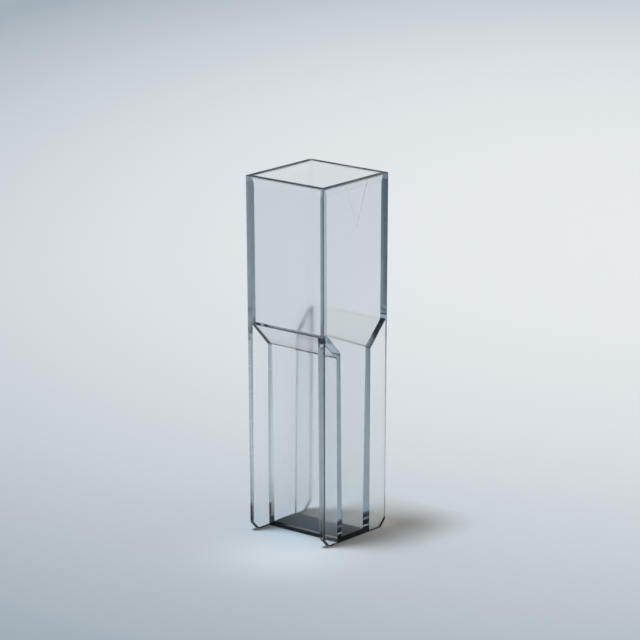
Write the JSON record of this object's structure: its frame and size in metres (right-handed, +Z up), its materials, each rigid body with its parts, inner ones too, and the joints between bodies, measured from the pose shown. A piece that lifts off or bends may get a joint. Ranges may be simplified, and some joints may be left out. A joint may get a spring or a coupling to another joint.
{
  "type": "cuvette",
  "caption": "Clear square cuvette with a wide open top, sloped shoulders down to a narrow chamber, side recesses between plate-like fins and a light path mark.",
  "frame": {"origin": "middle of the base, on the surface it stands on", "axes": "+Z up to the rim, Y along the light path through the two optical faces, -Y out of the face with the triangular mark, X across the narrow chamber"},
  "size_m": [0.0126, 0.0126, 0.045],
  "materials": {
    "clear_plastic": "clear, polished, with a faint cool tint in thick sections"
  },
  "bodies": {
    "root": {"cuvette": "clear_plastic"}
  },
  "joints": []
}
